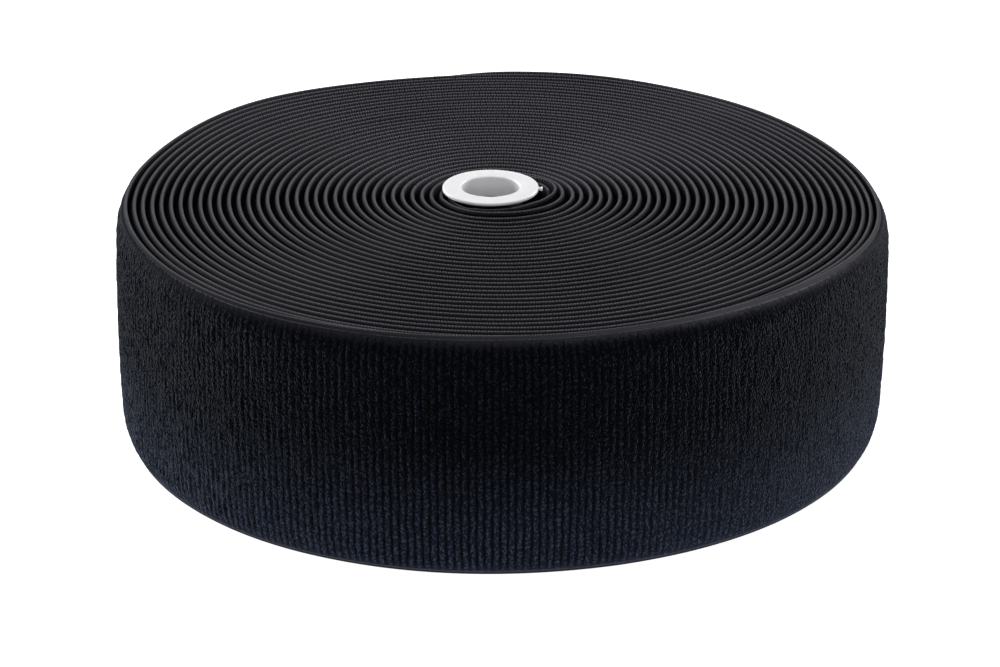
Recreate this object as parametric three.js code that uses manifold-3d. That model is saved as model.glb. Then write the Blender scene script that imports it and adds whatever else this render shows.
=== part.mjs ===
// A standing roll of wide loop-pile elastic, wound on a small white plastic core.
// Millimetres, +Z up. The origin is the middle of the roll's footprint, on the surface it stands on.
import * as THREE from "three";
import { mergeVertices } from "three/addons/utils/BufferGeometryUtils.js";
import Module from "manifold-3d";

const wasm = await Module();
wasm.setup();

// The tape and how it is wound: outward and counter-clockwise, seen from above, from angle 0 on +X.
const TAPE_WIDTH = 50; // the height of the roll
const TAPE_GROUND = 1.05; // woven ground without its pile
const TURN_PITCH = 2.03; // growth of the winding in one turn
const FIRST_RADIUS = 9.16; // middle of the first turn's ground, at angle 0
const START_ANGLE = degrees(12); // where the tape starts in the first turn
const FULL_TURNS = 35; // between angle 0 in the first turn and in the last
const END_ANGLE = degrees(97); // where the tape ends in the last turn, at the back of the roll
const START_RAMP = degrees(10); // arc in which the bore widens past the inner end
const END_RAMP = degrees(6); // arc in which the outline drops past the outer end

// Where the middle of the winding lies from the part's origin, which is the middle of the outline.
const WINDING = { x: -0.4, y: -1.68 };

// The barrel side: how far the outside stands out from the edge line of the outermost turn.
const SIDE = [
  { z: 0.0, out: -0.2 },
  { z: 0.5, out: 0.35 },
  { z: 1.8, out: 0.8 },
  { z: 4.5, out: 1.35 },
  { z: 9.0, out: 1.85 },
  { z: 16.0, out: 2.2 },
  { z: 25.0, out: 2.35 },
  { z: 34.0, out: 2.2 },
  { z: 41.0, out: 1.8 },
  { z: 45.5, out: 1.25 },
  { z: 48.2, out: 0.75 },
  { z: 49.5, out: 0.35 },
  { z: 50.0, out: -0.2 },
];

// The outer turns are drawn in, most of all at the front, where the rim also rides up.
const OUTER_DRAW = 0.35;
const FRONT_DRAW = 2.4;
const FRONT_RISE = 0.7;
const FRONT_ANGLE = degrees(284);
const FRONT_SPREAD = degrees(46);
const RIM_BAND = 7; // width of the top face that rises with the rim

// Soft kinks of the outer turns, which fade towards the foot of the roll: where, how wide, and how
// far the top outline moves out.
const KINKS = [
  { at: degrees(22), spread: degrees(24), out: -1.5 },
  { at: degrees(80), spread: degrees(18), out: 0.5 },
  { at: degrees(132), spread: degrees(17), out: 2.4 },
  { at: degrees(343), spread: degrees(20), out: 1.0 },
];

// The first turn lies off the middle of the winding, round the core.
const FIRST_TURN = { x: -0.4, y: 1.6 };
const INNER_DROP = 0.5; // the first turn's edge stands lower than the top face
const INNER_SLOPE = 2.4; // width over which the top face comes down to it

// The core: a tube with a thin flange that laps over the first turn, and a bit of its moulding gate.
const CORE = {
  x: -1.9, // from the middle of the winding
  y: 2.3,
  tube: 7.8,
  bore: 6.25,
  flange: 10.1,
  under: 50.05, // height of the flange's underside
  top: 50.85,
  lip: 0.9, // rounding of the mouth
  edge: 0.2, // rounding of the flange's rim
};
const GATE = { angle: degrees(6), reach: 0.75, width: 1.0, height: 0.6 };

const ROLL_STEPS = 150;
const CORE_STEPS = 72;
const LIP_STEPS = 4;

function degrees(value) {
  return THREE.MathUtils.degToRad(value);
}

// A soft hump of height 1 at one angle.
function hump(angle, at, spread) {
  const apart = Math.atan2(Math.sin(angle - at), Math.cos(angle - at));
  return Math.exp(-((apart / spread) ** 2));
}

function front(angle) {
  return hump(angle, FRONT_ANGLE, FRONT_SPREAD);
}

function kink(angle) {
  return KINKS.reduce((sum, k) => sum + k.out * hump(angle, k.at, k.spread), 0);
}

// 1 before an angle and 0 after it, with a smooth drop over the ramp.
function before(angle, at, ramp) {
  return 1 - THREE.MathUtils.smoothstep(angle, at - ramp / 2, at + ramp / 2);
}

// Radius of the winding at an angle, in turns past the first.
function windingRadius(angle, turns) {
  return FIRST_RADIUS + TURN_PITCH * (turns + angle / (2 * Math.PI));
}

// Radius of the outermost turn at a height, which drops by one turn past the tape's outer end.
function edgeLine(angle, z) {
  const turns = FULL_TURNS - 1 + before(angle, END_ANGLE, END_RAMP);
  const drawn = OUTER_DRAW + FRONT_DRAW * front(angle);
  return windingRadius(angle, turns) - drawn + (z / TAPE_WIDTH) * kink(angle);
}

// Radius of the bore's wall: the inside of the first turn, and of the second before the inner end.
function boreLine(angle) {
  const turns = before(angle, START_ANGLE, START_RAMP);
  const shift = FIRST_TURN.x * Math.cos(angle) + FIRST_TURN.y * Math.sin(angle);
  return windingRadius(angle, turns) + shift - TAPE_GROUND / 2;
}

// Section of the wound form at one angle: up the side, in over the top, down the bore, out below.
function rollSection(angle) {
  const rim = edgeLine(angle, TAPE_WIDTH);
  const bore = boreLine(angle);
  const rise = FRONT_RISE * front(angle);
  const side = SIDE.map(({ z, out }) => {
    const lift = rise * THREE.MathUtils.smoothstep(z, TAPE_WIDTH / 2, TAPE_WIDTH);
    return new THREE.Vector2(edgeLine(angle, z) + out, z + lift);
  });
  return [
    ...side,
    new THREE.Vector2(rim - RIM_BAND, TAPE_WIDTH),
    new THREE.Vector2((rim + bore) / 2, TAPE_WIDTH),
    new THREE.Vector2(bore + INNER_SLOPE, TAPE_WIDTH),
    new THREE.Vector2(bore + TAPE_GROUND, TAPE_WIDTH - INNER_DROP),
    new THREE.Vector2(bore, TAPE_WIDTH - INNER_DROP),
    new THREE.Vector2(bore, TAPE_WIDTH / 2),
    new THREE.Vector2(bore, 0),
    new THREE.Vector2((rim + bore) / 2, 0),
    side[0].clone(),
  ];
}

// A closed ring whose section changes with the angle: a lathe whose points are set anew at each step.
function ringOf(sectionAt, steps) {
  const geometry = new THREE.LatheGeometry(sectionAt(0), steps);
  const position = geometry.getAttribute("position");
  for (let step = 0; step <= steps; step++) {
    const angle = ((step % steps) / steps) * 2 * Math.PI;
    sectionAt(angle).forEach((point, row, section) => {
      const x = point.x * Math.cos(angle);
      const y = point.x * Math.sin(angle);
      position.setXYZ(step * section.length + row, x, y, point.y);
    });
  }
  geometry.computeVertexNormals();
  return geometry;
}

// Quarter round between two directions, in a lathe's section.
function quarter(cx, cy, radius, from, to) {
  return Array.from({ length: LIP_STEPS + 1 }, (_, i) => {
    const turn = THREE.MathUtils.lerp(from, to, i / LIP_STEPS);
    return new THREE.Vector2(cx + radius * Math.cos(turn), cy + radius * Math.sin(turn));
  });
}

function coreSection() {
  const { tube, bore, flange, under, top, lip, edge } = CORE;
  return [
    new THREE.Vector2(bore, 0),
    new THREE.Vector2(tube, 0),
    new THREE.Vector2(tube, under),
    ...quarter(flange - edge, under + edge, edge, -Math.PI / 2, 0),
    ...quarter(flange - edge, top - edge, edge, 0, Math.PI / 2),
    ...quarter(bore + lip, top - lip, lip, Math.PI / 2, Math.PI),
    new THREE.Vector2(bore, 0),
  ];
}

function solidOf(geometry) {
  const bare = geometry.clone();
  bare.deleteAttribute("normal");
  bare.deleteAttribute("uv");
  const merged = mergeVertices(bare, 1e-4);
  return new wasm.Manifold(
    new wasm.Mesh({
      numProp: 3,
      vertProperties: new Float32Array(merged.attributes.position.array),
      triVerts: new Uint32Array(merged.index.array),
    }),
  );
}

function geometryOf(solid) {
  const mesh = solid.getMesh();
  const geometry = new THREE.BufferGeometry();
  geometry.setAttribute("position", new THREE.BufferAttribute(mesh.vertProperties, 3));
  geometry.setIndex(new THREE.BufferAttribute(mesh.triVerts, 1));
  geometry.computeVertexNormals();
  return geometry;
}

// The gate's stub on the flange's rim.
function gateGeometry() {
  const depth = GATE.reach * 2;
  const middle = (CORE.under + CORE.top) / 2;
  return new THREE.BoxGeometry(depth, GATE.width, GATE.height)
    .translate(CORE.flange, 0, middle)
    .rotateZ(GATE.angle);
}

function coreGeometry() {
  const turned = new THREE.LatheGeometry(coreSection(), CORE_STEPS).rotateX(Math.PI / 2);
  return geometryOf(solidOf(turned).add(solidOf(gateGeometry())));
}

function piece(name, geometry, material) {
  const mesh = new THREE.Mesh(geometry, material);
  mesh.name = name;
  return mesh;
}

const cloth = new THREE.MeshStandardMaterial({ color: 0x17181c, roughness: 0.95, metalness: 0 });
const plastic = new THREE.MeshStandardMaterial({ color: 0xf0f0ee, roughness: 0.4, metalness: 0 });

const roll = piece("elastic_roll", ringOf(rollSection, ROLL_STEPS), cloth);
const core = piece("core", coreGeometry(), plastic);
core.position.set(CORE.x, CORE.y, 0);

const winding = new THREE.Group();
winding.position.set(WINDING.x, WINDING.y, 0);
winding.add(roll, core);

const part = new THREE.Group();
part.add(winding);
export default part;
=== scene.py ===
"""A standing roll of wide loop-pile elastic on a small white core, dressed round its CAD frame."""

import logging
import math
from collections.abc import Callable
from dataclasses import dataclass, field
from enum import Enum

import bpy
import numpy as np
from bpy.types import Material, Node, NodeOutputs, NodeSocket, NodeTree, Object
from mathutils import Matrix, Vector

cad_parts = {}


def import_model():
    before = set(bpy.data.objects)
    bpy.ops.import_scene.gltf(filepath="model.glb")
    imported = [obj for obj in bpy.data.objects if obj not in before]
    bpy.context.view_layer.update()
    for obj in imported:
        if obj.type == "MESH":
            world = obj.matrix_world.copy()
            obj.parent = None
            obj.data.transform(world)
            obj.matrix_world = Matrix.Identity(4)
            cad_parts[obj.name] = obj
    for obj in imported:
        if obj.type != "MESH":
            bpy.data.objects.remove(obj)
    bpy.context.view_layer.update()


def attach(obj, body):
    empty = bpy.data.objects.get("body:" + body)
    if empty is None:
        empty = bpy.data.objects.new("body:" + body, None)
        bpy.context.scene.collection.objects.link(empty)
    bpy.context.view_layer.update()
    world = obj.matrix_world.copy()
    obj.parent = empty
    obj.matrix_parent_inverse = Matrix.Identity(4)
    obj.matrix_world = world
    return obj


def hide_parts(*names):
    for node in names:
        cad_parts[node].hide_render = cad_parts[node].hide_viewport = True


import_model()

MM = 0.001
UV_MAP = "TapeLength"
NEAR = 0.01  # millimetres within which a point counts as being at a place
LOG = logging.getLogger("roll_of_elastic")
Colour = tuple[float, float, float, float]
WHITE: Colour = (1.0, 1.0, 1.0, 1.0)


class Mark(Enum):
    """What the finishes are told about each point of the tape."""

    PILE = "pile"  # share of the pile's height
    OUTER = "outer"  # from -1 on the back to 1 on the dark outer face
    RIM = "rim"  # 1 on the outermost turn's selvage and on the cut end
    INSET = "inset"  # millimetres from the nearer edge, which sets the painted shade down between the turns; 0 on the outermost turn's outer face, and more where the flange's shadow is painted on the first turn
    WORN = "worn"  # painted light: how much lighter the rim and the lower selvage are drawn, where light falls on them
    COMBED = "combed"  # how clearly the pile shows its ribs
    UP = "up"  # share of the height


class Course(Enum):
    """How a value goes from one end of a range to the other."""

    SMOOTH = "SMOOTHSTEP"
    EVEN = "LINEAR"


class Element(Enum):
    """The elements of a mesh that can be selected by their place."""

    VERTICES = "vertices"
    EDGES = "edges"
    FACES = "polygons"


def degrees_apart(turn: np.ndarray, at: np.ndarray | float) -> np.ndarray:
    """Returns how far round the roll a turn lies from an angle, from -180 to 180 degrees."""
    return (turn * 360.0 - at + 180.0) % 360.0 - 180.0


def hump(turn: np.ndarray, at: float, spread: float) -> np.ndarray:
    """Returns 1 at an angle round the roll, fading to 0 over a spread in degrees."""
    return np.exp(-((degrees_apart(turn, at) / spread) ** 2))


def before(past: np.ndarray, blend: float) -> np.ndarray:
    """Returns 1 well before a boundary and 0 well past it, with a soft change over the blend."""
    return 1.0 / (1.0 + np.exp(np.clip(past / blend, -30.0, 30.0)))


@dataclass(frozen=True)
class Kink:
    """A place where the turns swing off the even winding, most of all in the outermost one."""

    at: float  # degrees round the roll, in the outermost turn
    spread: float  # degrees
    out: float  # millimetres outwards
    depth: float  # turns over which it fades inwards
    drift: float = 0.0  # degrees it moves on with each turn inwards
    under: int = 0  # it spares this many of the outermost turns

    def at_turn(self, turn: np.ndarray, inwards: np.ndarray) -> np.ndarray:
        """Says how far this kink moves the tape.

        Args:
            turn: Turns since angle 0 of the first turn.
            inwards: How many turns lie outside the tape there.

        Returns:
            The outward offset in millimetres.
        """
        apart = degrees_apart(turn, self.at + self.drift * inwards)
        swing = self.out * np.exp(-((apart / self.spread) ** 2) - inwards / self.depth)
        return np.where(inwards >= self.under, swing, 0.0)


@dataclass(frozen=True)
class Nudge:
    """A place where the first turns, loose round the core, lie off the even winding."""

    at: float  # turns
    spread: float  # turns
    out: float  # millimetres outwards

    def at_turn(self, turn: np.ndarray) -> np.ndarray:
        """Returns the outward offset in millimetres at each turn."""
        return self.out * np.exp(-(((turn - self.at) / self.spread) ** 2))


@dataclass(frozen=True)
class Tape:
    """The elastic tape's own section, in millimetres."""

    width: float = 50.0
    ground: float = 0.94
    pile: float = 1.0
    bare_edge: float = 0.6  # the selvage has no pile
    pile_ramp: float = 5.4  # the pile comes to its full height over this width
    rib: float = 1.52  # from one rib of the pile to the next
    rib_relief: float = 0.34

    def pile_share(self, height: np.ndarray) -> np.ndarray:
        """Says how full the pile stands at a height.

        Args:
            height: Height above the tape's lower edge, in millimetres.

        Returns:
            0 on the bare edge, 1 where the pile has its full height.
        """
        inset = np.minimum(height, self.width - height) - self.bare_edge
        return 1.0 - (1.0 - np.clip(inset / self.pile_ramp, 0.0, 1.0)) ** 2


@dataclass(frozen=True)
class Outline:
    """The tape's section as a closed loop: up the back, over the top edge, down the pile, under."""

    side: np.ndarray  # -1 on the back, 1 on the outer face of the ground
    height: np.ndarray  # millimetres above the lower edge
    piled: np.ndarray  # 1 where the point lies on the pile

    @classmethod
    def of(cls, tape: Tape, back_rows: int, pile_rows: int) -> "Outline":
        """Lays out the points of the section.

        Args:
            tape: The tape's sizes.
            back_rows: Points up the back, between the two edges.
            pile_rows: Points down the pile, between the two edges.

        Returns:
            The outline.
        """
        # The rounded selvage, from the back over the edge to the face.
        round_side = np.array([-1.0, -0.87, -0.5, 0.0, 0.5, 0.87, 1.0])
        round_drop = np.array([0.75, 0.3, 0.08, 0.0, 0.08, 0.3, 0.75])
        top = tape.width - round_drop
        foot = round_drop
        low, high = tape.bare_edge, tape.width - tape.bare_edge
        spread = 0.5 - 0.5 * np.cos(np.linspace(0.0, math.pi, back_rows))
        back = low + (high - low) * spread
        even = 0.55  # share of an even spacing; the rest crowds the rows at the edges
        eased = np.linspace(-1.0, 1.0, pile_rows)
        eased = 0.5 + 0.5 * (even * eased + (1.0 - even) * np.sin(eased * math.pi / 2.0))
        pile = high - (high - low) * eased
        side = np.concatenate([-np.ones(back_rows), round_side, np.ones(pile_rows), round_side[::-1]])
        height = np.concatenate([back, top, pile, foot])
        bend = len(round_side)
        piled = np.concatenate([np.zeros(back_rows + bend), np.ones(pile_rows), np.zeros(bend)])
        return cls(side, height, piled)


@dataclass(frozen=True)
class Winding:
    """How the tape lies in the roll. Turns are counted from angle 0 of the first one, outwards."""

    tape: Tape = Tape()
    centre: tuple[float, float] = (-0.4, -1.68)
    first_radius: float = 9.16
    pitch: float = 2.03
    first_turn: float = 12.0 / 360.0
    last_turn: float = 35.0 + 101.0 / 360.0
    front: float = 284.0  # degrees, where the outer turns are drawn in most
    front_spread: float = 46.0
    front_draw: tuple[float, ...] = (2.4, 1.3, 0.15)  # of the outermost turn and the ones under it
    outer_draw: tuple[float, ...] = (0.5, 0.35, 0.2, 0.1)
    rim_curl: tuple[float, ...] = (0.85, 0.4)  # further in at the front, at the upper edge alone
    rim_at: float = 305.0  # degrees
    rim_spread: float = 48.0
    rim_lift: tuple[float, ...] = (0.3, -0.3, -0.25)  # of the upper edge, at the front
    bow: float = 0.68  # the outermost turn's middle stands out from its edges
    bow_power: float = 2.2
    curl: float = 0.35  # the selvage leans in
    curl_width: float = 3.0
    first_curl: float = 0.3  # share of the curl that the first turn has
    first_drop: float = 0.4  # the tape stands lower under the core's flange
    start_arc: float = 0.4  # turns from the inner end in which only part of that drop is left
    start_drop: float = 0.25  # this share of it
    wander: float = 0.04  # small unevenness of the winding
    wander_seed: int = 3
    wander_waves: tuple[float, ...] = (2.37, 4.21, 6.83)  # in a turn
    uneven_edge: float = 0.025  # small unevenness of the edges' height
    edge_seed: int = 8
    edge_waves: tuple[float, ...] = (2.31, 4.77, 9.13, 15.7)  # in a turn
    end_taper: float = 14.0  # degrees over which the outer end is pressed down
    end_draw: float = 1.0
    end_drop: float = 0.4  # its upper edge dips
    end_swell: float = 0.2  # what is left of the pile's height there
    core: tuple[float, float] = (-1.8, 2.3)  # from the winding's middle
    covered: float = 11.1  # the flange covers the tape up to here, from the core's middle
    covered_blend: float = 0.12
    clearance: float = 0.06  # left free between two turns
    least_half: float = 0.3  # half of the ground's thickness where it is pressed most
    kinks: tuple[Kink, ...] = (
        Kink(at=22.0, spread=25.0, out=-1.6, depth=14.0, drift=1.0),
        Kink(at=77.0, spread=15.0, out=1.4, depth=3.0),
        Kink(at=132.0, spread=19.0, out=3.1, depth=8.0, drift=1.1),
        Kink(at=115.0, spread=30.0, out=0.35, depth=40.0),
        Kink(at=203.0, spread=24.0, out=-0.85, depth=20.0),
        Kink(at=284.0, spread=22.0, out=0.6, depth=14.0, under=3),
        Kink(at=341.0, spread=20.0, out=1.0, depth=16.0),
    )
    nudges: tuple[Nudge, ...] = (
        Nudge(at=0.12, spread=0.26, out=1.5),
        Nudge(at=0.86, spread=0.17, out=-2.6),
        Nudge(at=1.09, spread=0.10, out=2.4),
        Nudge(at=1.35, spread=0.13, out=0.5),
        Nudge(at=1.78, spread=0.155, out=-2.05),
        Nudge(at=2.08, spread=0.11, out=0.65),
        Nudge(at=2.40, spread=0.15, out=0.1),
        Nudge(at=2.80, spread=0.12, out=-0.7),
        Nudge(at=3.03, spread=0.12, out=0.25),
        Nudge(at=3.79, spread=0.12, out=-0.2),
    )

    def outside(self, turn: np.ndarray) -> np.ndarray:
        """Counts the turns that lie outside the tape.

        Args:
            turn: Turns since angle 0 of the first turn.

        Returns:
            The number of turns outside, at each turn.
        """
        share = turn % 1.0
        outermost = math.floor(self.last_turn) + share - (share > self.last_turn % 1.0)
        return np.round(outermost - turn)

    def at_front(self, turn: np.ndarray) -> np.ndarray:
        """Returns 1 at the front of the roll, fading to 0 round its sides."""
        return hump(turn, self.front, self.front_spread)

    def at_rim(self, turn: np.ndarray) -> np.ndarray:
        """Returns 1 where the rim curls in most, at the right of the front, fading to 0."""
        return hump(turn, self.rim_at, self.rim_spread)

    def at_end(self, turn: np.ndarray) -> np.ndarray:
        """Returns 1 at the tape's outer end, fading to 0 within the taper before it."""
        share = np.clip(1.0 - (self.last_turn - turn) * 360.0 / self.end_taper, 0.0, 1.0)
        return np.where(turn <= self.last_turn + 1e-6, share * share * (3.0 - 2.0 * share), 0.0)

    def pick(self, values: tuple[float, ...], turn: np.ndarray) -> np.ndarray:
        """Takes one value for each of the outermost turns.

        Args:
            values: The values of the outermost turn and the ones under it.
            turn: Turns since angle 0 of the first turn.

        Returns:
            The value at each turn, 0 for the turns further in.
        """
        padded = np.array([*values, 0.0])
        return padded[np.clip(self.outside(turn), 0, len(values)).astype(int)]

    def ripple(self, turn: np.ndarray, seed: int, waves: tuple[float, ...]) -> np.ndarray:
        """Adds up a few slow waves with seeded phases.

        Args:
            turn: Turns since angle 0 of the first turn.
            seed: Seed of the phases.
            waves: Waves in a turn, none of them a whole number.

        Returns:
            A value from about -1 to 1.
        """
        phases = np.random.default_rng(seed).uniform(0.0, 2.0 * math.pi, len(waves))
        total = sum(np.sin(2.0 * math.pi * wave * turn + phase) for wave, phase in zip(waves, phases))
        return total / math.sqrt(len(waves))

    def centreline(self, turn: np.ndarray, height: np.ndarray) -> np.ndarray:
        """Gives the radius of the middle of the tape's ground.

        Args:
            turn: Turns since angle 0 of the first turn.
            height: Height above the tape's lower edge.

        Returns:
            The radius about the winding's middle, in millimetres.
        """
        inwards = np.clip(self.last_turn - 0.5 - turn, 0.0, None)
        radius = self.first_radius + self.pitch * turn
        upper = height / self.tape.width
        swing = sum(kink.at_turn(turn, inwards) for kink in self.kinks if not kink.under)
        swing = swing + sum(kink.at_turn(turn, self.outside(turn)) for kink in self.kinks if kink.under)
        radius = radius + swing * upper + sum(nudge.at_turn(turn) for nudge in self.nudges)
        radius = radius - self.pick(self.front_draw, turn) * self.at_front(turn)
        radius = radius - self.pick(self.outer_draw, turn)
        radius = radius + self.wander * self.ripple(turn, self.wander_seed, self.wander_waves)
        inset = np.minimum(height, self.tape.width - height)
        share = np.clip(turn / self.last_turn, 0.0, 1.0)
        middle = 1.0 - (1.0 - inset / (self.tape.width / 2.0)) ** self.bow_power
        edge = np.clip(1.0 - inset / self.curl_width, 0.0, 1.0) ** 2
        leant = self.first_curl + (1.0 - self.first_curl) * share
        radius = radius + self.bow * share * middle + self.curl * (1.0 - edge) * leant
        radius = radius - self.end_draw * self.at_end(turn)
        curled = self.pick(self.rim_curl, turn) * self.at_rim(turn)
        return radius - np.where(height > self.tape.width / 2.0, curled * edge, 0.0)

    def lift(self, turn: np.ndarray, height: np.ndarray) -> np.ndarray:
        """Says how far an edge stands off the even height.

        Args:
            turn: Turns since angle 0 of the first turn.
            height: Height above the tape's lower edge.

        Returns:
            The upward offset in millimetres; the lower edge never goes below the table.
        """
        upper = np.clip(2.0 * height / self.tape.width - 1.0, 0.0, 1.0)
        lower = 1.0 - np.clip(2.0 * height / self.tape.width, 0.0, 1.0)
        rise = self.pick(self.rim_lift, turn) * self.at_front(turn)
        radius, angle = self.centreline(turn, height), 2.0 * math.pi * turn
        apart = np.hypot(radius * np.cos(angle) - self.core[0], radius * np.sin(angle) - self.core[1])
        drop = self.first_drop * before(apart - self.covered, self.covered_blend)
        drop = np.where(turn < self.start_arc, self.start_drop * drop, drop)
        rough = self.uneven_edge * self.ripple(turn, self.edge_seed, self.edge_waves)
        dip = self.end_drop * self.at_end(turn) ** 2
        return upper * (rise - drop - dip + rough) + lower * np.abs(rough)

    def lay(self, turns: np.ndarray, outline: Outline, swell: np.ndarray | float = 1.0) -> np.ndarray:
        """Puts the tape's outline at each turn.

        Args:
            turns: Where the sections stand.
            outline: The tape's section.
            swell: Share of the pile's height at each section and point.

        Returns:
            Points in millimetres, by section, by point of the outline, by axis.
        """
        turn = turns[:, None]
        height = outline.height[None, :]
        here = self.centreline(turn, height)
        ample = 99.0  # no neighbour there
        out = np.where(turn + 1.0 <= self.last_turn, self.centreline(turn + 1.0, height) - here, ample)
        back = np.where(turn - 1.0 >= self.first_turn, here - self.centreline(turn - 1.0, height), ample)
        half = np.minimum(self.tape.ground / 2.0, np.minimum(out, back) / 2.0 - self.clearance)
        half = np.maximum(half, self.least_half)
        room = np.clip(out - 2.0 * half - self.clearance, 0.0, self.tape.pile)
        pile = room * self.tape.pile_share(height) * outline.piled[None, :] * swell
        radius = here + outline.side[None, :] * half + pile
        angle = 2.0 * math.pi * turn
        x = self.centre[0] + radius * np.cos(angle)
        y = self.centre[1] + radius * np.sin(angle)
        z = height + self.lift(turn, height)
        return np.stack([x, y, z], axis=-1)


class Recipe:
    """A node tree while a finish is being put together."""

    def __init__(self, tree: NodeTree) -> None:
        """Starts on an empty tree."""
        self.tree = tree

    def node(self, kind: str, inputs: dict | None = None, **settings: object) -> Node:
        """Adds a node.

        Args:
            kind: The node's type name.
            inputs: Values or sockets by input name or number.
            settings: The node's own settings.

        Returns:
            The new node.
        """
        made = self.tree.nodes.new(kind)
        for name, value in settings.items():
            setattr(made, name, value)
        self.feed_all(made, inputs or {})
        return made

    def feed_all(self, node: Node, inputs: dict) -> None:
        """Feeds several inputs of a node, by name or number."""
        for name, value in inputs.items():
            self.feed(node.inputs[name], value)

    def feed(self, socket: NodeSocket, value: object) -> None:
        """Links a socket to an input, or sets the input's own value.

        Args:
            socket: The input.
            value: Another node's output, or a plain value.
        """
        if isinstance(value, NodeSocket):
            self.tree.links.new(value, socket)
        else:
            socket.default_value = value

    def math(self, operation: str, *values: object) -> NodeSocket:
        """Works out one Math node and returns its result."""
        return self.node("ShaderNodeMath", dict(enumerate(values)), operation=operation).outputs[0]

    def ramp(
        self,
        value: object,
        low: float,
        high: float,
        to_low: object = 0.0,
        to_high: object = 1.0,
        course: Course = Course.SMOOTH,
    ) -> NodeSocket:
        """Maps a value from one range to another."""
        inputs = {"Value": value, "From Min": low, "From Max": high, "To Min": to_low, "To Max": to_high}
        return self.node("ShaderNodeMapRange", inputs, interpolation_type=course.value).outputs[0]

    def noise(self, place: NodeSocket, scale: object, **inputs: float) -> NodeSocket:
        """Adds a noise texture and returns its value."""
        given = {"Vector": place, "Scale": scale, **inputs}
        return self.node("ShaderNodeTexNoise", given).outputs["Fac"]

    def group(self, tree: NodeTree, **inputs: object) -> NodeOutputs:
        """Adds a shared node group and returns its outputs."""
        return self.node("ShaderNodeGroup", inputs, node_tree=tree).outputs

    def mark(self, mark: Mark) -> NodeSocket:
        """Reads one of the tape's marks."""
        return self.node("ShaderNodeAttribute", attribute_name=mark.value).outputs["Fac"]

    def object_place(self) -> NodeSocket:
        """Returns the place on the piece itself, in metres."""
        return self.node("ShaderNodeTexCoord").outputs["Object"]

    def times(self, first: object, second: object) -> NodeSocket:
        """Multiplies two values."""
        return self.math("MULTIPLY", first, second)

    def tone_down(self, colour: NodeSocket, tone: NodeSocket) -> NodeSocket:
        """Multiplies a colour by a tone."""
        return self.node("ShaderNodeVectorMath", {0: colour, 1: tone}, operation="MULTIPLY").outputs[0]

    def bump(self, shader: Node, height: NodeSocket, relief: float, strength: float = 1.0) -> None:
        """Gives a shader a relief of so many millimetres."""
        inputs = {"Height": height, "Distance": relief * MM, "Strength": strength}
        self.feed(shader.inputs["Normal"], self.node("ShaderNodeBump", inputs).outputs[0])

    def blend(self, share: object, first: object, second: object) -> NodeSocket:
        """Mixes two colours.

        Args:
            share: The second colour's share.
            first: The colour at 0.
            second: The colour at 1.

        Returns:
            The mixed colour.
        """
        made = self.node("ShaderNodeMix", data_type="RGBA")
        self.feed_all(made, {0: share, 6: first, 7: second})
        return made.outputs[2]


def new_group(
    name: str, inputs: dict[str, float], outputs: tuple[str, ...]
) -> tuple[Recipe, dict[str, NodeSocket], Node]:
    """Starts a node group whose inputs and outputs are all numbers.

    Args:
        name: The group's name.
        inputs: Default values by input name.
        outputs: Output names.

    Returns:
        The group's recipe, its input sockets by name, and its output node.
    """
    tree = bpy.data.node_groups.new(name, "ShaderNodeTree")
    for label, value in inputs.items():
        socket = tree.interface.new_socket(label, in_out="INPUT", socket_type="NodeSocketFloat")
        socket.default_value = value
    for label in outputs:
        tree.interface.new_socket(label, in_out="OUTPUT", socket_type="NodeSocketFloat")
    start = tree.nodes.new("NodeGroupInput")
    end = tree.nodes.new("NodeGroupOutput")
    return Recipe(tree), {label: start.outputs[label] for label in inputs}, end


def weft_group() -> NodeTree:
    """Builds the crosswise ticks of a woven ground: one for each weft thread, every second one fainter.

    Returns:
        The group, which takes a place and a pitch and gives the threads' height and their grooves.
    """
    inputs = {"Along": 0.0, "Across": 0.0, "Pitch": 0.62}
    recipe, given, end = new_group("WeftTicks", inputs, ("Height", "Groove"))
    spot = recipe.node("ShaderNodeCombineXYZ", {0: given["Along"], 1: given["Across"]}).outputs[0]
    uneven = recipe.noise(spot, 0.12, Detail=2.0)
    shifted = recipe.math("ADD", given["Along"], recipe.times(uneven, 1.2))
    phase = recipe.times(recipe.math("DIVIDE", shifted, given["Pitch"]), 2.0 * math.pi)
    wave = recipe.math("ADD", recipe.times(recipe.math("SINE", phase), 0.5), 0.5)
    pairs = recipe.math("SINE", recipe.times(phase, 0.5))
    groove = recipe.times(recipe.ramp(wave, 0.62, 0.08), recipe.ramp(pairs, -1.0, 1.0, 0.6, 1.0))
    recipe.feed_all(end, {"Height": wave, "Groove": groove})
    return recipe.tree


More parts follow.
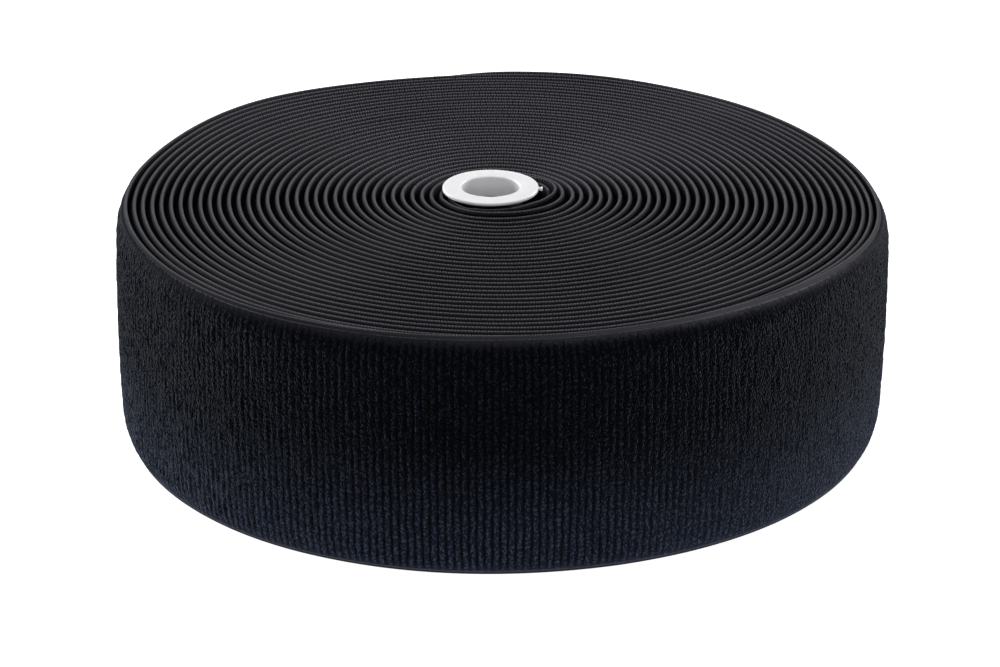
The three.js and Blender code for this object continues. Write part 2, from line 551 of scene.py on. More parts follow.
def pile_group() -> NodeTree:
    """Builds the small loops of the pile, which stand close together along its upright ribs.

    Returns:
        The group, which gives the loops' height, their lit tips and the valleys between the ribs.
    """
    inputs = {"Along": 0.0, "Up": 0.0, "Rib": 1.52, "Loop": 0.45, "Combed": 1.0}
    recipe, given, end = new_group("PileLoops", inputs, ("Height", "Tips", "Valley"))
    broad = recipe.node("ShaderNodeCombineXYZ", {0: given["Along"], 1: given["Up"]}).outputs[0]
    sway = recipe.math("SUBTRACT", recipe.noise(broad, 0.16, Detail=2.0), 0.5)
    swayed = recipe.math("ADD", given["Along"], recipe.times(sway, 1.1))
    column = recipe.math("DIVIDE", swayed, given["Rib"])
    rib = recipe.math("COSINE", recipe.times(column, 2.0 * math.pi))
    lengthwise = recipe.math("DIVIDE", swayed, given["Loop"])
    upright = recipe.math("DIVIDE", given["Up"], recipe.times(given["Loop"], 1.5))
    spot = recipe.node("ShaderNodeCombineXYZ", {0: lengthwise, 1: upright}).outputs[0]
    cells = {"Vector": spot, "Scale": 1.0, "Randomness": 1.0}
    loops = recipe.node("ShaderNodeTexVoronoi", cells, feature="F1")
    loop = recipe.times(recipe.ramp(loops.outputs["Distance"], 0.7, 0.1), 0.45)
    fine = recipe.ramp(recipe.noise(spot, 1.1, Detail=2.0, Roughness=0.6), 0.3, 0.7, 0.0, 0.55)
    grain = recipe.math("ADD", loop, fine)
    clear = recipe.times(rib, recipe.times(given["Combed"], 0.17))
    tips = recipe.ramp(recipe.math("ADD", grain, clear), 0.35, 0.95)
    valley = recipe.times(recipe.ramp(rib, 0.0, -0.9), given["Combed"])
    recipe.feed_all(end, {"Height": grain, "Tips": tips, "Valley": valley})
    return recipe.tree


def mottle_group() -> NodeTree:
    """Builds a soft unevenness of tone over a whole piece.

    Returns:
        The group, which gives a tone between its low and its high value.
    """
    recipe, given, end = new_group("SoftMottle", {"Scale": 30.0, "Low": 0.9, "High": 1.1}, ("Tone",))
    noise = recipe.noise(recipe.object_place(), given["Scale"], Detail=3.0)
    tone = recipe.ramp(noise, 0.3, 0.7, given["Low"], given["High"], Course.EVEN)
    recipe.feed(end.inputs["Tone"], tone)
    return recipe.tree


@dataclass(frozen=True)
class Effects:
    """The node groups that the finishes share."""

    weft: NodeTree = field(default_factory=weft_group)
    pile: NodeTree = field(default_factory=pile_group)
    mottle: NodeTree = field(default_factory=mottle_group)


def start_material(name: str) -> tuple[Material, Recipe, Node]:
    """Starts a material with a Principled shader.

    Args:
        name: The material's name.

    Returns:
        The material, its recipe and its shader node.
    """
    material = bpy.data.materials.new(name)
    material.use_nodes = True
    recipe = Recipe(material.node_tree)
    return material, recipe, material.node_tree.nodes["Principled BSDF"]


def tape_place(recipe: Recipe) -> tuple[NodeSocket, NodeSocket]:
    """Finds the place on the tape.

    Args:
        recipe: The material's recipe.

    Returns:
        Millimetres along the tape, and millimetres round its section.
    """
    spot = recipe.node("ShaderNodeUVMap", uv_map=UV_MAP).outputs[0]
    place = recipe.node("ShaderNodeSeparateXYZ", {0: spot})
    return tuple(recipe.times(place.outputs[axis], 1.0 / MM) for axis in (0, 1))


@dataclass(frozen=True)
class WovenGround:
    """The bare ground of black elastic: its back and its selvages, with a tick for each weft thread."""

    # The back and the outer face are drawn darker than the crest: partly the ground's own tones, partly
    # painted shade on the faces that lie down between the turns.
    crest: Colour = (0.110, 0.110, 0.127, 1.0)
    back: Colour = (0.024, 0.024, 0.029, 1.0)
    outer: Colour = (0.004, 0.004, 0.005, 1.0)  # the face that the pile grows from; its own dark tone, darkened further with painted shade between the turns
    groove: Colour = (0.003, 0.003, 0.004, 1.0)
    rim: Colour = (0.009, 0.009, 0.0125, 1.0)  # the outermost turn's selvage
    worn: Colour = (0.054, 0.053, 0.062, 1.0)  # the same under painted light, lighter where light falls on the rim
    roughness: float = 0.85
    specular: float = 0.1
    mottle: float = 38.0  # scale of its uneven tone
    weft_pitch: float = 0.618  # millimetres
    weft_relief: float = 0.1  # millimetres
    tick: float = 0.88  # how dark the grooves between the weft threads are
    depth_tone: float = 0.20  # painted shade: what is left of its colour down between the turns, where the next turn covers it

    def make(self, effects: Effects) -> Material:
        """Builds the material.

        Args:
            effects: The shared node groups.

        Returns:
            The material.
        """
        material, recipe, shader = start_material("woven_ground")
        along, across = tape_place(recipe)
        facing = recipe.mark(Mark.OUTER)
        weft = recipe.group(effects.weft, Along=along, Across=across, Pitch=self.weft_pitch)
        tone = recipe.group(effects.mottle, Scale=self.mottle)["Tone"]
        # Partly painted shade: darker from the crest down the back and down the outer face.
        face = recipe.blend(recipe.ramp(facing, -1.0, -0.3), self.back, self.crest)
        face = recipe.blend(recipe.ramp(facing, 0.0, 0.9), face, self.outer)
        ticked = recipe.ramp(facing, 0.2, 0.8, self.tick, 0.1)
        woven = recipe.blend(recipe.times(weft["Groove"], ticked), face, self.groove)
        # Painted shade: darker further down from the edges, in the gaps between the turns.
        painted_gap_shade = recipe.ramp(recipe.mark(Mark.INSET), 0.15, 1.5, 1.0, self.depth_tone)
        at_rim = recipe.mark(Mark.RIM)
        # Painted light: the selvage is drawn lighter where light falls on the rim and the foot.
        selvage = recipe.blend(recipe.mark(Mark.WORN), self.rim, self.worn)
        woven = recipe.tone_down(recipe.blend(at_rim, woven, selvage), recipe.times(tone, painted_gap_shade))
        given = {"Base Color": woven, "Roughness": self.roughness, "Specular IOR Level": self.specular}
        recipe.feed_all(shader, given)
        even = recipe.times(weft["Height"], recipe.ramp(at_rim, 0.0, 0.5, 1.0, 0.1))
        recipe.bump(shader, even, self.weft_relief)
        return material


@dataclass(frozen=True)
class LoopPile:
    """The matt pile of black elastic: small loops in upright ribs."""

    name: str = "loop_pile"
    shade: Colour = (0.0006, 0.0008, 0.0014, 1.0)
    tips: Colour = (0.0076, 0.0100, 0.0180, 1.0)
    foot_shade: Colour = (0.0095, 0.012, 0.0200, 1.0)
    foot_tips: Colour = (0.047, 0.059, 0.098, 1.0)  # painted light from the floor: lighter towards the foot
    valley: Colour = (0.0003, 0.0003, 0.0006, 1.0)
    bare: Colour = (0.010, 0.010, 0.014, 1.0)  # where the ground shows at the pile's edge
    worn: Colour = (0.054, 0.053, 0.062, 1.0)  # the same under the painted light on the rim and the foot
    roughness: float = 0.95
    specular: float = 0.05
    sheen: float = 0.115
    sheen_tint: Colour = (0.80, 0.88, 1.0, 1.0)
    sheen_roughness: float = 0.18
    mottle: float = 38.0  # scale of its uneven tone
    foot: float = 0.62  # share of the height over which the painted light at the foot fades
    loop: float = 0.46  # millimetres
    relief: float = 0.5  # millimetres

    def make(self, effects: Effects, tape: Tape) -> Material:
        """Builds the material.

        Args:
            effects: The shared node groups.
            tape: The tape's sizes.

        Returns:
            The material.
        """
        material, recipe, shader = start_material(self.name)
        along, across = tape_place(recipe)
        piled = recipe.mark(Mark.PILE)
        given = {"Along": along, "Up": across, "Rib": tape.rib, "Loop": self.loop}
        loops = recipe.group(effects.pile, **given, Combed=recipe.mark(Mark.COMBED))
        tone = recipe.group(effects.mottle, Scale=self.mottle)["Tone"]
        # Painted light: the bare edge of the pile is drawn lighter along with the rim and the foot.
        bare = recipe.blend(recipe.mark(Mark.WORN), self.bare, self.worn)
        # Painted light: the pile is drawn lighter towards the foot.
        risen = recipe.ramp(recipe.mark(Mark.UP), 0.0, self.foot)
        tips = recipe.blend(risen, self.foot_tips, self.tips)
        shade = recipe.blend(risen, self.foot_shade, self.shade)
        nap = recipe.blend(loops["Tips"], shade, tips)
        nap = recipe.blend(recipe.times(loops["Valley"], 0.75), nap, self.valley)
        ragged = recipe.math("ADD", piled, recipe.times(loops["Height"], 0.6))
        cloth = recipe.blend(recipe.ramp(ragged, 0.2, 0.85), bare, nap)
        given = {
            "Base Color": recipe.tone_down(cloth, tone),
            "Roughness": self.roughness,
            "Specular IOR Level": self.specular,
            "Sheen Weight": self.sheen,
            "Sheen Roughness": self.sheen_roughness,
            "Sheen Tint": self.sheen_tint,
        }
        recipe.feed_all(shader, given)
        recipe.bump(shader, recipe.times(loops["Height"], piled), self.relief)
        return material


@dataclass(frozen=True)
class MouldedPlastic:
    """White moulded plastic with a soft gloss."""

    colour: Colour = (0.885, 0.885, 0.895, 1.0)
    shade: Colour = (0.835, 0.832, 0.850, 1.0)
    roughness: float = 0.38
    depth: float = 0.3  # millimetres that light goes under its skin

    def make(self, effects: Effects) -> Material:
        """Builds the material.

        Args:
            effects: The shared node groups.

        Returns:
            The material.
        """
        material, recipe, shader = start_material("white_plastic")
        flow = recipe.noise(recipe.object_place(), 260.0, Detail=2.0)
        tone = recipe.group(effects.mottle, Scale=120.0, Low=0.0, High=1.0)["Tone"]
        given = {
            "Base Color": recipe.blend(tone, self.colour, self.shade),
            "Roughness": recipe.ramp(flow, 0.3, 0.7, self.roughness - 0.06, self.roughness + 0.08),
            "Subsurface Weight": 1.0,
            "Subsurface Radius": (1.0, 1.0, 1.0),
            "Subsurface Scale": self.depth * MM,
        }
        recipe.feed_all(shader, given)
        recipe.bump(shader, flow, 0.03, 0.6)
        return material


@dataclass(frozen=True)
class DarkBoard:
    """Dark brown wound board, with the faint slanting laps of its plies."""

    colour: Colour = (0.110, 0.080, 0.062, 1.0)
    fleck: Colour = (0.060, 0.044, 0.034, 1.0)
    roughness: float = 0.9

    def make(self) -> Material:
        """Builds the material.

        Returns:
            The material.
        """
        material, recipe, shader = start_material("dark_board")
        place = recipe.object_place()
        fibre = recipe.noise(place, 900.0, Detail=4.0)
        laps = {"Vector": place, "Scale": 18.0, "Distortion": 2.0}
        lap = recipe.node("ShaderNodeTexWave", laps).outputs["Fac"]
        shade = recipe.times(recipe.math("ADD", fibre, lap), 0.5)
        colour = recipe.blend(shade, self.colour, self.fleck)
        recipe.feed_all(shader, {"Base Color": colour, "Roughness": self.roughness})
        recipe.bump(shader, fibre, 0.1, 0.7)
        return material


@dataclass(frozen=True)
class PaleFloor:
    """A plain white table, lit from below so that it shows hardly any shadow."""

    colour: Colour = (0.76, 0.77, 0.79, 1.0)
    speck: Colour = (0.74, 0.75, 0.775, 1.0)
    glow: Colour = (0.88, 0.93, 1.10, 1.0)
    roughness: float = 0.9
    strength: float = 0.5  # as it lights what stands on it
    seen: float = 0.85  # as it looks

    def make(self) -> Material:
        """Builds the material.

        Returns:
            The material.
        """
        material, recipe, shader = start_material("pale_floor")
        grain = recipe.noise(recipe.object_place(), 400.0)
        colour = recipe.blend(grain, self.colour, self.speck)
        recipe.feed_all(shader, {"Base Color": colour, "Roughness": self.roughness})
        looked_at = recipe.node("ShaderNodeLightPath").outputs["Is Camera Ray"]
        colour = recipe.blend(looked_at, self.glow, WHITE)
        strength = recipe.ramp(looked_at, 0.0, 1.0, self.strength, self.seen)
        glow = recipe.node("ShaderNodeEmission", {"Color": colour, "Strength": strength})
        both = recipe.node("ShaderNodeAddShader", {0: shader.outputs[0], 1: glow.outputs[0]})
        recipe.feed(material.node_tree.nodes["Material Output"].inputs["Surface"], both.outputs[0])
        return material


def dress(piece: Object, materials: list[Material], slot: str, *stands_for: str) -> None:
    """Gives a piece its materials and ties it to the frame.

    Args:
        piece: The finished piece.
        materials: Its materials, by the material number of its faces.
        slot: The record's material slot; not used.
        stands_for: The CAD nodes that it replaces.
    """
    for material in materials:
        piece.data.materials.append(material)
    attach(piece, "root")
    if stands_for:
        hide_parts(*stands_for)
    LOG.info("%s: %d faces", piece.name, len(piece.data.polygons))


def strip_mesh(
    name: str, points: np.ndarray, along: np.ndarray, marks: dict[Mark, np.ndarray], on_pile: np.ndarray
) -> Object:
    """Makes a closed mesh from sections of the tape, with caps on both ends.

    Args:
        name: The piece's name.
        points: Millimetres, by section, by point of the outline, by axis.
        along: Length of tape at each section, in millimetres.
        marks: The marks of the points.
        on_pile: 1 for the points of the outline that lie on the pile.

    Returns:
        The piece, with a UV map of the tape's length and girth in metres. Its pile has material
        number 1.
    """
    sections, ring = points.shape[:2]
    index = np.arange(sections * ring).reshape(sections, ring)
    following = np.roll(index, -1, axis=1)
    quads = np.stack([index[:-1], following[:-1], following[1:], index[1:]], axis=-1).reshape(-1, 4)
    caps = [index[0][::-1].tolist(), index[-1].tolist()]
    mesh = bpy.data.meshes.new(name)
    mesh.from_pydata((points.reshape(-1, 3) * MM).tolist(), [], quads.tolist() + caps)
    steps = np.linalg.norm(np.diff(points[0], axis=0, append=points[0, :1]), axis=1)
    girth = np.concatenate([[0.0], np.cumsum(steps)])
    u = np.broadcast_to(along[:, None], (sections, ring + 1)) * MM
    v = np.broadcast_to(girth[None, :], (sections, ring + 1)) * MM
    grid = np.stack([u, v], axis=-1)
    corners = np.stack([grid[:-1, :-1], grid[:-1, 1:], grid[1:, 1:], grid[1:, :-1]], axis=2)
    ends = np.concatenate([grid[0, :-1][::-1], grid[-1, :-1]])
    layer = mesh.uv_layers.new(name=UV_MAP)
    layer.data.foreach_set("uv", np.concatenate([corners.reshape(-1, 2), ends]).astype(np.float32).ravel())
    for label, values in marks.items():
        mark = mesh.attributes.new(label.value, "FLOAT", "POINT")
        values = np.broadcast_to(values, (sections, ring))
        mark.data.foreach_set("value", values.astype(np.float32).ravel())
    between = (on_pile * np.roll(on_pile, -1) > 0.5).astype(np.int32)
    numbers = np.concatenate([np.tile(between, sections - 1), [0, 0]])
    mesh.polygons.foreach_set("material_index", numbers)
    smooth = np.ones(len(mesh.polygons), dtype=bool)
    smooth[-2:] = False
    mesh.polygons.foreach_set("use_smooth", smooth)
    mesh.update()
    piece = bpy.data.objects.new(name, mesh)
    bpy.context.scene.collection.objects.link(piece)
    return piece


@dataclass
class WoundTape:
    """The whole length of tape, wound on the core: the inner turns, the outer turns and the last one."""

    winding: Winding = Winding()
    steps: int = 144  # sections in a turn
    split: float = 20.0  # the inner turns end here
    rib_steps: int = 4  # sections to a rib in the last turn
    painted_light_at: float = 318.0  # degrees, where the painted light on the rim is strongest
    painted_light_spread: float = 42.0
    painted_light_width: float = 2.2  # down to here, in millimetres
    foot_painted_light: float = 0.3  # painted light on the lower selvage, all round
    brushed_at: float = 330.0  # degrees, where the pile hardly shows its ribs
    brushed_spread: float = 36.0
    brushed: float = 0.85  # share of the ribs that is lost there
    painted_shade: tuple[float, float] = (0.35, 0.87)  # turns between which the flange's shadow is painted on the tape
    painted_shade_blend: float = 0.02  # turns
    painted_shade_depth: float = 0.75  # millimetres added to the inset, for the flange's painted shadow
    rim_from: float = 0.2  # the selvage counts as the rim from here outwards, -1 to 1 across it
    rim_blend: float = 0.7
    loose: float = 0.18  # unevenness of the loops' height
    loose_seed: int = 21

    def build(self, ground: Material, packed_and_shaded: Material, pile: Material) -> None:
        """Builds the three lengths, end to end.

        Args:
            ground: The material of the woven ground.
            packed_and_shaded: The material of the pile between the turns, darker with painted shade.
            pile: The material of the pile that shows.
        """
        winding = self.winding
        last_start = winding.last_turn - 1.0
        plain = Outline.of(winding.tape, back_rows=9, pile_rows=11)
        inner = self.length("tape_inner_turns", winding.first_turn, self.split, plain)
        outer = self.length("tape_outer_turns", self.split, last_start, plain)
        last = self.last_length("tape_last_turn", last_start)
        for piece in (inner, outer):
            dress(piece, [ground, packed_and_shaded], "cloth", "elastic_roll")
        dress(last, [ground, pile], "cloth", "elastic_roll")

    def tape_length(self, turn: np.ndarray) -> np.ndarray:
        """Returns the length of tape in millimetres from the first turn's angle 0."""
        mean = self.winding.first_radius + self.winding.pitch * turn / 2.0
        return 2.0 * math.pi * turn * mean

    def length(self, name: str, start: float, end: float, outline: Outline) -> Object:
        """Builds a plain length of the winding.

        Args:
            name: The piece's name.
            start: Its first turn.
            end: Its last turn.
            outline: The tape's section.

        Returns:
            The piece.
        """
        turns = np.linspace(start, end, math.ceil((end - start) * self.steps) + 1)
        points = self.winding.lay(turns, outline)
        marks = self.marks(turns, outline)
        return strip_mesh(name, points, self.tape_length(turns), marks, outline.piled)

    def last_length(self, name: str, start: float) -> Object:
        """Builds the outermost turn, whose ribbed pile shows.

        Args:
            name: The piece's name.
            start: Its first turn.

        Returns:
            The piece.
        """
        tape = self.winding.tape
        end = self.winding.last_turn
        outline = Outline.of(tape, back_rows=9, pile_rows=40)
        first, last = self.tape_length(np.array([start, end]))
        count = math.ceil((last - first) / tape.rib * self.rib_steps)
        turns = np.linspace(start, end, count + 1)
        along = self.tape_length(turns)
        marks = self.marks(turns, outline)
        ended = self.winding.at_end(turns)[:, None]
        swell = self.ribs(along[:, None], outline.height[None, :], marks[Mark.COMBED])
        swell = swell * (1.0 - (1.0 - self.winding.end_swell) * ended)
        points = self.winding.lay(turns, outline, swell)
        return strip_mesh(name, points, along, marks, outline.piled)

    def marks(self, turns: np.ndarray, outline: Outline) -> dict[Mark, np.ndarray]:
        """Works out what the finishes need to know about each point.

        Args:
            turns: Where the sections stand.
            outline: The tape's section.

        Returns:
            Each mark's values, by section and point.
        """
        winding = self.winding
        turn = turns[:, None]
        inset = np.minimum(outline.height, winding.tape.width - outline.height)[None, :]
        shown = winding.outside(turn) < 0.5
        upper = (outline.height > winding.tape.width / 2.0)[None, :]
        # Painted light: the rim is drawn lighter at the right of the front, fading down from its upper
        # edge.
        rim_light = hump(turn, self.painted_light_at, self.painted_light_spread) * shown * upper
        rim_light = rim_light * np.clip(1.0 - inset / self.painted_light_width, 0.0, 1.0)
        side = outline.side[None, :]
        at_rim = np.clip((side - self.rim_from) / self.rim_blend, 0.0, 1.0) * shown
        # Painted shadow of the flange on the first turn, given as extra inset.
        start, end = self.painted_shade
        flange_shadow = self.painted_shade_depth * (turn > start) * before(turn - end, self.painted_shade_blend)
        return {
            Mark.PILE: (outline.piled * winding.tape.pile_share(outline.height))[None, :],
            Mark.OUTER: side,
            Mark.RIM: np.maximum(at_rim, turn > winding.last_turn - 1e-4),
            # Painted shade: the inset darkens the tape down between the turns, and the flange's painted
            # shadow adds to it.
            Mark.INSET: np.where(shown & (side > 0.0), 0.0, inset) + flange_shadow,
            Mark.WORN: rim_light + self.foot_painted_light * shown * (1.0 - upper),
            Mark.COMBED: 1.0 - self.brushed * hump(turn, self.brushed_at, self.brushed_spread),
            Mark.UP: (outline.height / winding.tape.width)[None, :],
        }

    def ribs(self, along: np.ndarray, height: np.ndarray, combed: np.ndarray) -> np.ndarray:
        """Shapes the pile into its ribs, with slightly uneven loops.

        Args:
            along: Length of tape, in millimetres.
            height: Height above the lower edge, in millimetres.
            combed: How clearly the ribs show.

        Returns:
            The share of the pile's full height.
        """
        tape = self.winding.tape
        random = np.random.default_rng(self.loose_seed)
        wave = 0.5 + 0.5 * np.cos(2.0 * math.pi * along / tape.rib)
        loose = random.uniform(-1.0, 1.0, (along.shape[0], height.shape[1]))
        relief = combed * tape.rib_relief / tape.pile
        return 1.0 - relief * (1.0 - np.sqrt(wave)) + self.loose * loose


def select_where(piece: Object, kind: Element, test: Callable[[Vector], bool]) -> None:
    """Selects the elements of a piece in edit mode whose middle passes a test.

    Args:
        piece: The piece.
        kind: The elements that are looked at.
        test: Says of a place in millimetres whether what lies there is selected.
    """
    bpy.ops.object.mode_set(mode="OBJECT")
    mesh = piece.data
    for group in (mesh.vertices, mesh.edges, mesh.polygons):
        for element in group:
            element.select = False
    for element in getattr(mesh, kind.value):
        if kind is Element.VERTICES:
            middle = element.co
        else:
            corners = [mesh.vertices[i].co for i in element.vertices]
            middle = sum(corners, Vector()) / len(corners)
        element.select = bool(test(middle / MM))
    bpy.ops.object.mode_set(mode="EDIT")


def select_whole() -> None:
    """Selects everything in the mesh that is being edited."""
    bpy.ops.mesh.select_all(action="SELECT")


def extrude(x: float, z: float) -> None:
    """Extrudes what is selected, by millimetres along X and Z."""
    bpy.ops.mesh.extrude_region_move(TRANSFORM_OT_translate={"value": (x * MM, 0.0, z * MM)})


@dataclass
class SpoolCore:
    """The small core: a tube of board, and a white bush with a thin flange and its gate's stub."""

    centre: tuple[float, float] = (-2.2, 0.62)
    tube: float = 7.1
    tube_bore: float = 6.55
    bore: float = 6.1
    collar: float = 4.6  # the bush reaches this far below its top
    flange: float = 10.15
    fit: float = 0.02  # between the tube and the bush
    under: float = 50.05
    top: float = 50.88
    lip: float = 0.7
    lip_segments: int = 8
    edge: float = 0.3  # rounding of the flange's rim, above
    under_edge: float = 0.24  # and below
    tube_edge: float = 0.15
    foot_edge: float = 0.1
    ledge: float = 1.6  # the parting line in the bore lies this far below the top
    ledge_step: float = 0.06
    ledge_height: float = 0.1
    steps: int = 120
    smooth: float = 35.0  # degrees up to which an edge is shaded smooth
    gate_angle: float = -3.0
    gate_size: tuple[float, float, float] = (1.3, 0.7, 0.55)
    gate_tip: tuple[float, float, float] = (0.3, 1.15, 0.65)
    gate_sunk: float = 0.8  # how far the stem reaches into the flange
    gate_step: float = 0.03  # length over which the stem widens to its crossbar
    gate_bevel: float = 0.06

    def build(self, plastic: Material, board: Material) -> None:
        """Models the core and dresses it.

        Args:
            plastic: The bush's material.
            board: The tube's material.
        """
        tube = self.wall("core_tube", self.tube_bore, self.tube, 0.0, self.under - self.fit)
        for x in (self.tube_bore, self.tube):
            self.round_corner(tube, x, 0.0, self.tube_edge, 2)
        self.turn(tube)
        reach = self.tube_bore - self.fit
        bush = self.wall("core_bush", self.bore, reach, self.top - self.collar, self.under)
        self.grow_flange(bush)
        self.turn(bush)
        self.join_gate(bush)
        dress(tube, [board], "plastic", "core")
        dress(bush, [plastic], "plastic", "core")

    def wall(self, name: str, inner: float, outer: float, foot: float, head: float) -> Object:
        """Adds a wall's section as a flat face, seen from the front, and leaves it in edit mode.

        Args:
            name: The piece's name.
            inner: Its inner radius, in millimetres.
            outer: Its outer radius.
            foot: Its lower end.
            head: Its upper end.

        Returns:
            The piece.
        """
        bpy.ops.object.select_all(action="DESELECT")
        middle = Vector(((inner + outer) / 2.0, 0.0, (foot + head) / 2.0)) * MM
        bpy.ops.mesh.primitive_plane_add(size=MM, location=middle, rotation=(math.pi / 2.0, 0.0, 0.0))
        piece = bpy.context.object
        piece.name = name
        bpy.ops.object.transform_apply(location=True, rotation=True, scale=True)
        bpy.ops.object.mode_set(mode="EDIT")
        bpy.ops.transform.resize(value=(outer - inner, 1.0, head - foot), center_override=middle)
        return piece

    def grow_flange(self, piece: Object) -> None:
        """Extrudes the flange from the collar's section and rounds its lip and rims.

        Args:
            piece: The bush, a flat section in edit mode.
        """
        reach = self.tube_bore - self.fit
        select_where(piece, Element.EDGES, lambda at: at.z > self.under - NEAR)
        extrude(0.0, self.top - self.under)
        select_where(piece, Element.EDGES, lambda at: at.z > self.under + NEAR and at.x > reach - NEAR)
        extrude(self.flange - reach, 0.0)
        self.join_faces(piece)
        for drop in (self.ledge, self.ledge + self.ledge_height):
            select_whole()
            cut = (0.0, 0.0, (self.top - drop) * MM)
            bpy.ops.mesh.bisect(plane_co=cut, plane_no=(0.0, 0.0, 1.0))
        ledge = self.top - self.ledge - self.ledge_height / 2.0
        select_where(piece, Element.VERTICES, lambda at: at.x < self.bore + NEAR and at.z > ledge)
        bpy.ops.transform.translate(value=(self.ledge_step * MM, 0.0, 0.0))
        self.round_corner(piece, self.bore + self.ledge_step, self.top, self.lip, self.lip_segments)
        self.round_corner(piece, self.flange, self.top, self.edge, 5)
        self.round_corner(piece, self.flange, self.under, self.under_edge, 4)
        self.round_corner(piece, self.bore, self.top - self.collar, self.foot_edge, 2)

    def round_corner(self, piece: Object, x: float, z: float, radius: float, segments: int) -> None:
        """Bevels the section's corner at one place, in millimetres."""
        select_where(piece, Element.VERTICES, lambda at: abs(at.x - x) < NEAR and abs(at.z - z) < NEAR)
        bpy.ops.mesh.bevel(offset=radius * MM, segments=segments, affect="VERTICES", clamp_overlap=True)

    def turn(self, piece: Object) -> None:
        """Spins the section's outline into a ring and moves it to the core's place.

        Args:
            piece: The flat section, in edit mode.
        """
        self.join_faces(piece)
        select_whole()
        bpy.ops.mesh.delete(type="ONLY_FACE")
        select_whole()
        bpy.ops.mesh.spin(
            steps=self.steps,
            angle=2.0 * math.pi,
            center=(0.0, 0.0, 0.0),
            axis=(0.0, 0.0, 1.0),
            use_auto_merge=False,
        )
        select_whole()
        bpy.ops.mesh.remove_doubles(threshold=0.001 * MM)
        bpy.ops.mesh.normals_make_consistent(inside=False)
        select_whole()
        bpy.ops.transform.translate(value=(self.centre[0] * MM, self.centre[1] * MM, 0.0))
        bpy.ops.object.mode_set(mode="OBJECT")
        bpy.ops.object.shade_smooth_by_angle(angle=math.radians(self.smooth))

    def join_faces(self, piece: Object) -> None:
        """Joins the section's faces into one.

        Args:
            piece: The flat section, in edit mode.
        """
        bpy.ops.object.mode_set(mode="OBJECT")
        uses: dict[tuple[int, int], int] = {}
        for face in piece.data.polygons:
            for key in face.edge_keys:
                uses[key] = uses.get(key, 0) + 1
        for edge in piece.data.edges:
            edge.select = uses.get(tuple(sorted(edge.vertices)), 0) == 2
        bpy.ops.object.mode_set(mode="EDIT")
        bpy.ops.mesh.dissolve_edges(use_verts=False)

    def join_gate(self, piece: Object) -> None:
        """Models the gate's stub, a stem with a short crossbar, and joins it to the flange's rim.

        Args:
            piece: The bush, turned.
        """
        angle = math.radians(self.gate_angle)
        ahead = Vector((math.cos(angle), math.sin(angle), 0.0))
        middle = Vector((*self.centre, (self.under + self.top) / 2.0))
        foot = middle + ahead * self.flange
        at = (foot + ahead * (self.gate_size[0] / 2.0 - self.gate_sunk)) * MM
        bpy.ops.object.select_all(action="DESELECT")
        bpy.ops.mesh.primitive_cube_add(size=MM, location=at)
        stub = bpy.context.object
        bpy.ops.object.transform_apply(location=True, rotation=True, scale=True)
        bpy.ops.object.mode_set(mode="EDIT")
        bpy.ops.transform.resize(value=self.gate_size, center_override=at)
        tip = at.x / MM + self.gate_size[0] / 2.0
        select_where(stub, Element.FACES, lambda spot: spot.x > tip - NEAR)
        extrude(self.gate_step, 0.0)
        widen = (1.0, self.gate_tip[1] / self.gate_size[1], self.gate_tip[2] / self.gate_size[2])
        bpy.ops.transform.resize(value=widen, center_override=at)
        extrude(self.gate_tip[0], 0.0)
        select_whole()
        bpy.ops.mesh.bevel(offset=self.gate_bevel * MM, segments=2, affect="EDGES")
        select_whole()
        bpy.ops.transform.rotate(value=-angle, orient_axis="Z", center_override=at)
        bpy.ops.object.mode_set(mode="OBJECT")
        joining = piece.modifiers.new("gate", "BOOLEAN")
        joining.operation = "UNION"
        joining.solver = "EXACT"
        joining.object = stub
        bpy.context.view_layer.objects.active = piece
        bpy.ops.object.modifier_apply(modifier=joining.name)
        bpy.data.objects.remove(stub, do_unlink=True)


@dataclass(frozen=True)
class Lamp:
    """A square soft light, in metres and watts."""

    name: str
    at: tuple[float, float, float]
    aim: tuple[float, float, float]
    size: float
    power: float

    def build(self) -> None:
        """Adds the light."""
        data = bpy.data.lights.new(self.name, "AREA")
        data.shape = "SQUARE"
        data.size = self.size
        data.energy = self.power
        lamp = bpy.data.objects.new(self.name, data)
        lamp.location = self.at
        lamp.rotation_euler = (Vector(self.aim) - Vector(self.at)).to_track_quat("-Z", "Y").to_euler()
        bpy.context.scene.collection.objects.link(lamp)


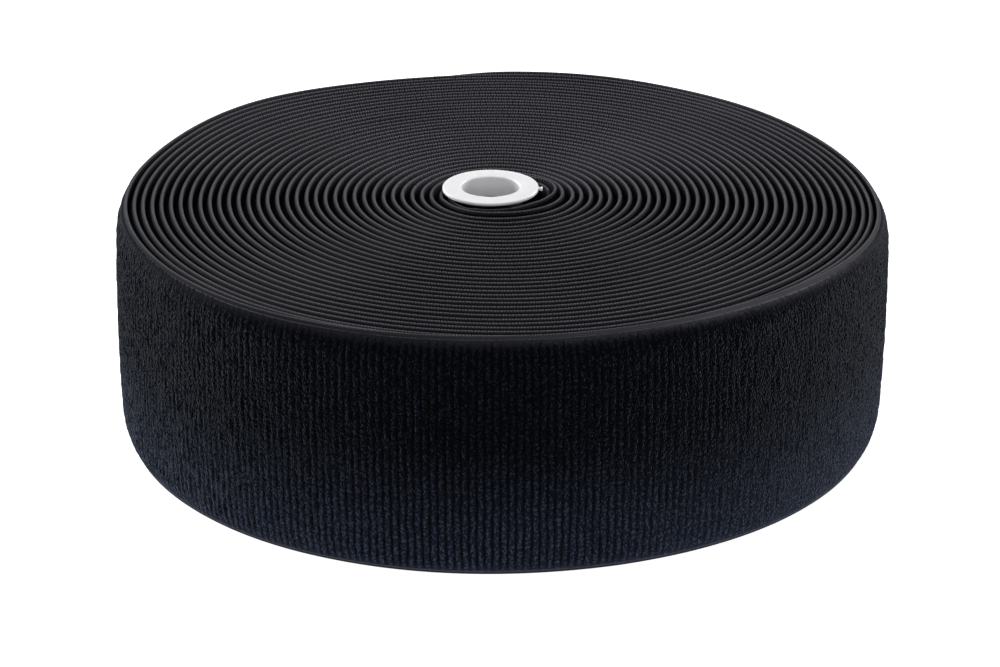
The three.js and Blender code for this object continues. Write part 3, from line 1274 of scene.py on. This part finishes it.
@dataclass
class Studio:
    """A plain pale floor, soft light from above and from both sides at the back, and the camera."""

    centre: tuple[float, float] = Winding.centre
    camera_at: tuple[float, float, float] = (0.2, -633.8, 288.6)  # from the winding's middle
    camera_down: float = 23.12  # degrees below level
    focal: float = 115.67
    floor_size: float = 6.0
    sky: float = 0.14  # the even light from all round
    lamps: tuple[Lamp, ...] = (
        Lamp("overhead", (0.0, -0.45, 1.25), (0.0, 0.0, 0.0), 1.3, 15.0),
        Lamp("left", (-1.1, 0.7, 0.28), (0.0, 0.0, 0.03), 0.5, 18.0),
        Lamp("right", (1.1, 0.7, 0.28), (0.0, 0.0, 0.03), 0.5, 13.5),
    )

    def build(self) -> None:
        """Builds the floor, the world, the lights and the camera."""
        self.floor()
        self.world()
        for lamp in self.lamps:
            lamp.build()
        self.camera()

    def floor(self) -> None:
        """Adds the floor."""
        bpy.ops.object.select_all(action="DESELECT")
        bpy.ops.mesh.primitive_plane_add(size=self.floor_size, location=(0.0, 0.0, 0.0))
        floor = bpy.context.object
        floor.name = "floor"
        floor.data.materials.append(PaleFloor().make())

    def world(self) -> None:
        """Lights the scene evenly from all round, with a white backdrop."""
        world = bpy.data.worlds.new("studio")
        bpy.context.scene.world = world
        world.use_nodes = True
        recipe = Recipe(world.node_tree)
        background = world.node_tree.nodes["Background"]
        seen = recipe.node("ShaderNodeLightPath").outputs["Is Camera Ray"]
        recipe.feed(background.inputs["Color"], WHITE)
        recipe.feed(background.inputs["Strength"], recipe.ramp(seen, 0.0, 1.0, self.sky, 1.0))

    def camera(self) -> None:
        """Sets the camera at the photographed angle."""
        data = bpy.data.cameras.new("camera")
        data.sensor_width = 36.0
        data.lens = self.focal
        data.clip_start = 0.01
        data.clip_end = 50.0
        camera = bpy.data.objects.new("camera", data)
        x, y, z = self.camera_at
        camera.location = ((self.centre[0] + x) * MM, (self.centre[1] + y) * MM, z * MM)
        camera.rotation_euler = (math.radians(90.0 - self.camera_down), 0.0, 0.0)
        bpy.context.scene.collection.objects.link(camera)
        bpy.context.scene.camera = camera
        bpy.context.scene.view_settings.view_transform = "Standard"


def main() -> None:
    """Builds the roll and its studio, and notes the sizes."""
    logging.basicConfig(level=logging.INFO, format="%(message)s")
    effects = Effects()
    tape = WoundTape()
    section = tape.winding.tape
    # Painted shade: the pile between the turns gets darker colours than the pile that shows, and no
    # lighter foot, for the shade deep in the gaps.
    painted_shade = (0.004, 0.005, 0.007, 1.0)
    packed_and_shaded = LoopPile(
        name="packed_shaded_pile",
        foot_shade=LoopPile.shade,
        tips=painted_shade,
        foot_tips=painted_shade,
        bare=(0.003, 0.003, 0.004, 1.0),
        specular=0.0,
        sheen=0.0,
    )
    ground = WovenGround().make(effects)
    tape.build(ground, packed_and_shaded.make(effects, section), LoopPile().make(effects, section))
    SpoolCore().build(MouldedPlastic().make(effects), DarkBoard().make())
    Studio().build()


if __name__ == "__main__":
    main()
